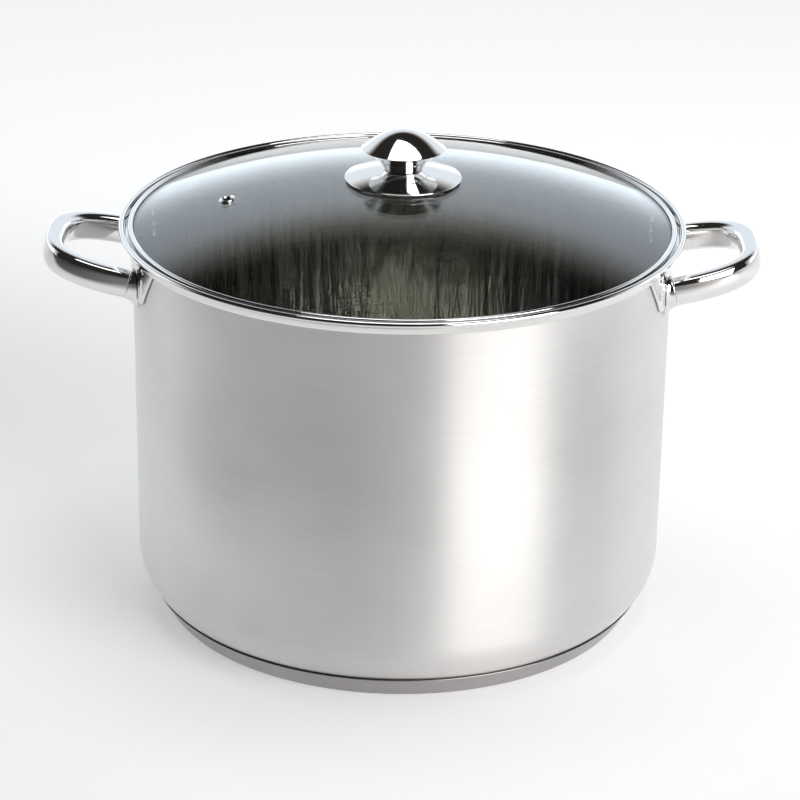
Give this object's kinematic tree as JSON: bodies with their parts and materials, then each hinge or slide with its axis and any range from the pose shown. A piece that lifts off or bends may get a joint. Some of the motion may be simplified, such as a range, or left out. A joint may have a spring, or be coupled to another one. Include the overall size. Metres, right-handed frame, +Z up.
{
  "type": "water bath canner",
  "caption": "Deep round stainless steel pot with loop handles, a clad base and a domed glass lid with a steam vent and knob, for boiling jars in a water bath.",
  "frame": {"origin": "middle of the base's underside, on the surface that the pot stands on", "axes": "+X from the left handle to the right handle, +Y away from the viewer, +Z up the pot's axis"},
  "size_m": [0.4276, 0.3374, 0.2988],
  "materials": {
    "brushed_steel": "satin stainless steel with fine brushing round the wall",
    "base_steel": "satin magnetic stainless steel",
    "polished_steel": "mirror-polished stainless steel",
    "plain_steel": "plain machined steel",
    "aluminium_core": "plain rolled aluminium",
    "clear_glass": "clear tempered glass, polished",
    "clear_silicone": "translucent silicone, matt"
  },
  "bodies": {
    "pot": {"pot_shell": "brushed_steel", "base_core": "aluminium_core", "base_cap": "base_steel", "left_handle_tube": "polished_steel", "left_handle_front_foot": "polished_steel", "left_handle_front_tab": "polished_steel", "left_handle_rear_foot": "polished_steel", "left_handle_rear_tab": "polished_steel", "right_handle_tube": "polished_steel", "right_handle_front_foot": "polished_steel", "right_handle_front_tab": "polished_steel", "right_handle_rear_foot": "polished_steel", "right_handle_rear_tab": "polished_steel"},
    "lid": {"lid_glass": "clear_glass", "lid_band": "polished_steel", "vent_eyelet": "polished_steel", "vent_washer": "clear_silicone", "knob_cap": "polished_steel", "knob_neck": "polished_steel", "knob_insert": "plain_steel", "knob_plate": "polished_steel", "knob_seal": "clear_silicone", "knob_lower_seal": "clear_silicone", "knob_washer": "plain_steel", "knob_screw": "plain_steel"}
  },
  "joints": [
    {"name": "lid_lift", "type": "slide", "parent": "pot", "child": "lid", "axis": [0, 0, 1], "range_m": [0, 0.3]}
  ]
}
